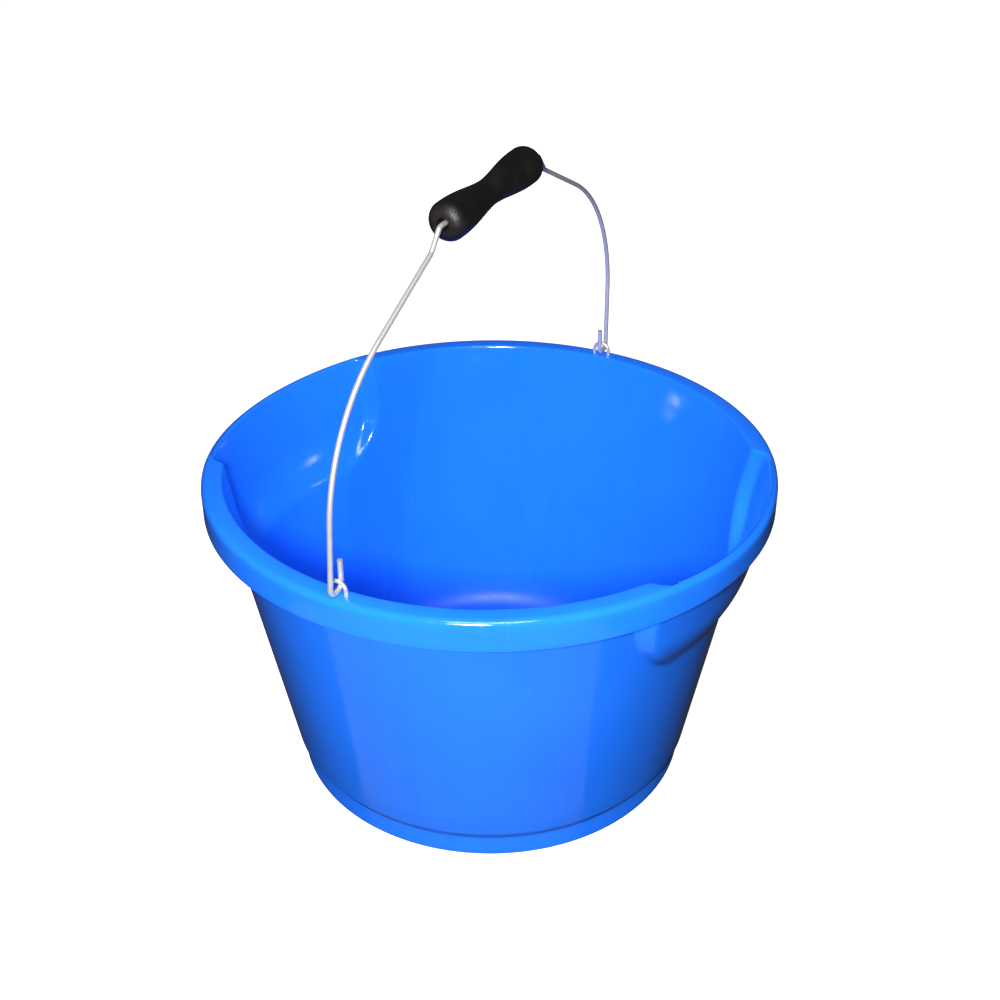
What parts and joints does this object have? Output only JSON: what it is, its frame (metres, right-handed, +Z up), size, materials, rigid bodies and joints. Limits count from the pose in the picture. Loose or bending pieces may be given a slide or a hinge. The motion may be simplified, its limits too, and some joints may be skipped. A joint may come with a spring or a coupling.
{
  "type": "feed bucket",
  "caption": "Round tapered plastic feed bucket with a flanged rim, shallow pouring lips and a swinging wire bail with a waisted plastic grip.",
  "frame": {"origin": "centre of the foot ring on the ground, on the bucket's axis", "axes": "+Z up along the bucket's axis; X is the bail's hinge line, from the left staple at -X to the right staple at +X; the pouring lips face +Y and -Y"},
  "size_m": [0.3817, 0.38, 0.422],
  "materials": {
    "bucket_plastic": "glossy moulded, bright blue",
    "galvanised_wire": "bright galvanised drawn wire",
    "grip_plastic": "black, finely pebbled"
  },
  "bodies": {
    "bucket_body": {"bucket": "bucket_plastic", "staple_left": "galvanised_wire", "staple_right": "galvanised_wire"},
    "bail": {"bail_wire": "galvanised_wire"},
    "grip": {"grip": "grip_plastic"}
  },
  "joints": [
    {"name": "bail_hinge", "type": "hinge", "parent": "bucket_body", "child": "bail", "pos_m": [0, 0, 0.22695], "axis": [1, 0, 0], "range_deg": [-86, 86]},
    {"name": "grip_spin", "type": "hinge", "parent": "bail", "child": "grip", "pos_m": [0.00101, 0, 0.40669], "axis": [0.9983, 0, 0.0576], "continuous": true}
  ]
}
